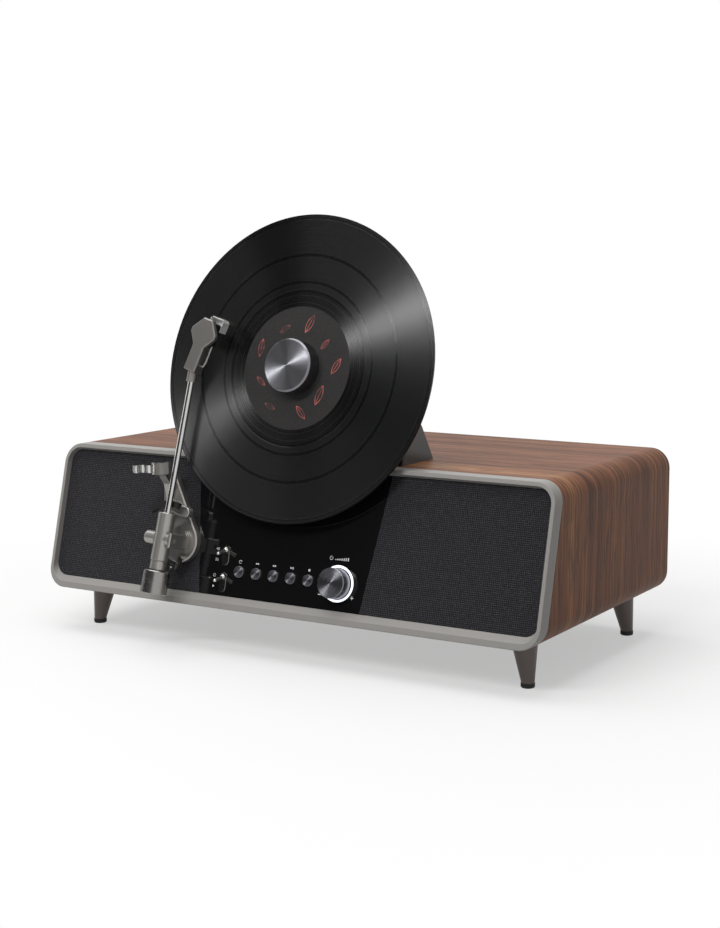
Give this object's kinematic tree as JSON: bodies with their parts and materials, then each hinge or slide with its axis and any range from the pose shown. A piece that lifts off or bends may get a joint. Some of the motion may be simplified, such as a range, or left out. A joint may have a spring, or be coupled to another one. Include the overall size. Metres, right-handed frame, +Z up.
{
  "type": "vertical record player",
  "caption": "Upright record player: a wood cabinet on splayed legs holds a leaning record, a tonearm, cloth grilles and a panel of knobs and switches.",
  "frame": {"origin": "centre of the bounding box of the whole, at the floor", "axes": "+X to the viewer's right, along the cabinet's length; +Y from the front to the back; +Z up"},
  "size_m": [0.565, 0.3422, 0.4263],
  "materials": {
    "walnut_veneer": "satin",
    "satin_bezel": "satin",
    "black_board": "matt",
    "grille_cloth": "woven",
    "gloss_black": "gloss",
    "black_plastic": "satin",
    "tower_grey": "satin",
    "leg_metal": "satin",
    "black_rubber": "matt",
    "dark_steel": "satin",
    "paper_cone": "matt",
    "board_green": "satin",
    "bright_steel": "bright",
    "brass": "satin",
    "platter_metal": "satin",
    "record_vinyl": "grooved gloss",
    "record_label": "printed paper",
    "spun_grey": "spun",
    "toggle_chrome": "polished",
    "light_white": "lit",
    "tonearm_grey": "satin",
    "tube_chrome": "polished",
    "weight_chrome": "dark polished",
    "cartridge_black": "satin",
    "guard_white": "gloss"
  },
  "bodies": {
    "cabinet": {"cabinet_sleeve": "walnut_veneer", "front_bezel": "satin_bezel", "baffle_board": "black_board", "grille_frame_left": "black_board", "grille_frame_right": "black_board", "grille_cloth": "grille_cloth", "centre_panel": "gloss_black", "rear_cover": "black_board", "audio_sockets": "black_plastic", "power_inlet": "black_plastic", "leg_front_left": "leg_metal", "leg_back_left": "leg_metal", "leg_front_right": "leg_metal", "leg_back_right": "leg_metal", "foot_pads": "black_rubber", "speaker_left": "dark_steel", "speaker_right": "dark_steel", "speaker_cones": "paper_cone", "main_board": "board_green", "control_board": "board_green", "tower_shell": "tower_grey", "tower_front_plate": "black_plastic", "motor": "dark_steel", "bearing_sleeve": "brass", "toggle_bushings": "toggle_chrome", "light_ring": "light_white", "tonearm_base": "tonearm_grey", "arm_rest": "tonearm_grey", "anti_skate_arm": "toggle_chrome", "cover_screws": "bright_steel", "baffle_screws": "bright_steel", "drive_belt": "black_rubber"},
    "turntable": {"spindle": "bright_steel", "platter_pulley": "platter_metal", "platter": "platter_metal", "slip_mat": "black_rubber", "record": "record_vinyl", "record_label": "record_label"},
    "clamp": {"clamp_knob": "spun_grey"},
    "pulley": {"motor_pulley": "brass"},
    "swivel": {"arm_yoke": "tonearm_grey"},
    "tonearm": {"arm_housing": "tonearm_grey", "arm_tube": "tube_chrome", "headshell": "tonearm_grey", "cartridge": "cartridge_black", "finger_lift": "tonearm_grey"},
    "counterweight": {"counterweight": "weight_chrome"},
    "stylus_guard": {"stylus_guard": "guard_white"},
    "cue_lever": {"cue_lever": "tonearm_grey"},
    "lift_rail": {"lift_rail": "black_plastic"},
    "arm_clip": {"arm_clip": "toggle_chrome"},
    "speed_toggle": {"toggle_speed": "toggle_chrome"},
    "mode_toggle": {"toggle_mode": "toggle_chrome"},
    "repeat_button": {"button_repeat": "spun_grey"},
    "previous_button": {"button_previous": "spun_grey"},
    "next_button": {"button_next": "spun_grey"},
    "play_button": {"button_play": "spun_grey"},
    "stop_button": {"button_stop": "spun_grey"},
    "volume_shaft": {"encoder_shaft": "bright_steel"},
    "volume_knob": {"volume_knob": "spun_grey"}
  },
  "joints": [
    {"name": "platter_spin", "type": "hinge", "parent": "cabinet", "child": "turntable", "pos_m": [0, -0.07495, 0.27719], "axis": [0, -0.9703, 0.2419], "continuous": true},
    {"name": "clamp_pull", "type": "slide", "parent": "turntable", "child": "clamp", "axis": [0, -0.9703, 0.2419], "range_m": [0, 0.03]},
    {"name": "pulley_spin", "type": "hinge", "parent": "cabinet", "child": "pulley", "pos_m": [0.058, -0.08736, 0.22742], "axis": [0, -0.9703, 0.2419], "continuous": true},
    {"name": "tonearm_swing", "type": "hinge", "parent": "cabinet", "child": "swivel", "pos_m": [-0.1197, -0.11809, 0.10419], "axis": [0, -0.9703, 0.2419], "range_deg": [-15, 15.8]},
    {"name": "tonearm_lift", "type": "hinge", "parent": "swivel", "child": "tonearm", "pos_m": [-0.1197, -0.14526, 0.11096], "axis": [0.9983, -0.0139, -0.0559], "range_deg": [0, 8]},
    {"name": "counterweight_slide", "type": "slide", "parent": "tonearm", "child": "counterweight", "axis": [0.0576, 0.2415, 0.9687], "range_m": [-0.006, 0.001]},
    {"name": "stylus_guard_pull", "type": "slide", "parent": "tonearm", "child": "stylus_guard", "axis": [0.2974, 0.231, 0.9264], "range_m": [0, 0.012]},
    {"name": "cue_turn", "type": "hinge", "parent": "cabinet", "child": "cue_lever", "pos_m": [-0.12901, -0.1098, 0.13743], "axis": [0, -0.9703, 0.2419], "range_deg": [0, 55]},
    {"name": "rail_rise", "type": "slide", "parent": "cabinet", "child": "lift_rail", "axis": [0, -0.9703, 0.2419], "range_m": [0, 0.0045]},
    {"name": "clip_turn", "type": "hinge", "parent": "cabinet", "child": "arm_clip", "pos_m": [-0.14033, -0.132, 0.17736], "axis": [-0.2164, 0.2362, 0.9473], "range_deg": [0, 125]},
    {"name": "speed_toggle_throw", "type": "hinge", "parent": "cabinet", "child": "speed_toggle", "pos_m": [-0.066, -0.11345, 0.10046], "axis": [-1, 0, 0], "range_deg": [0, 40]},
    {"name": "mode_toggle_throw", "type": "hinge", "parent": "cabinet", "child": "mode_toggle", "pos_m": [-0.066, -0.11986, 0.07474], "axis": [-1, 0, 0], "range_deg": [0, 40]},
    {"name": "repeat_button_press", "type": "slide", "parent": "cabinet", "child": "repeat_button", "axis": [0, 0.9703, -0.2419], "range_m": [0, 0.001], "stiffness_N_per_m": 300},
    {"name": "previous_button_press", "type": "slide", "parent": "cabinet", "child": "previous_button", "axis": [0, 0.9703, -0.2419], "range_m": [0, 0.001], "stiffness_N_per_m": 300},
    {"name": "next_button_press", "type": "slide", "parent": "cabinet", "child": "next_button", "axis": [0, 0.9703, -0.2419], "range_m": [0, 0.001], "stiffness_N_per_m": 300},
    {"name": "play_button_press", "type": "slide", "parent": "cabinet", "child": "play_button", "axis": [0, 0.9703, -0.2419], "range_m": [0, 0.001], "stiffness_N_per_m": 300},
    {"name": "stop_button_press", "type": "slide", "parent": "cabinet", "child": "stop_button", "axis": [0, 0.9703, -0.2419], "range_m": [0, 0.001], "stiffness_N_per_m": 300},
    {"name": "volume_press", "type": "slide", "parent": "cabinet", "child": "volume_shaft", "axis": [0, 0.9703, -0.2419], "range_m": [0, 0.001], "stiffness_N_per_m": 800},
    {"name": "volume_turn", "type": "hinge", "parent": "volume_shaft", "child": "volume_knob", "pos_m": [0.0657, -0.12346, 0.08265], "axis": [0, -0.9703, 0.2419], "continuous": true}
  ],
  "couplings": [
    {"joint": "pulley_spin", "follows": "platter_spin", "ratio": 9},
    {"joint": "tonearm_lift", "follows": "cue_turn", "ratio": 0.145},
    {"joint": "rail_rise", "follows": "cue_turn", "m_per_rad": 0.00465}
  ]
}
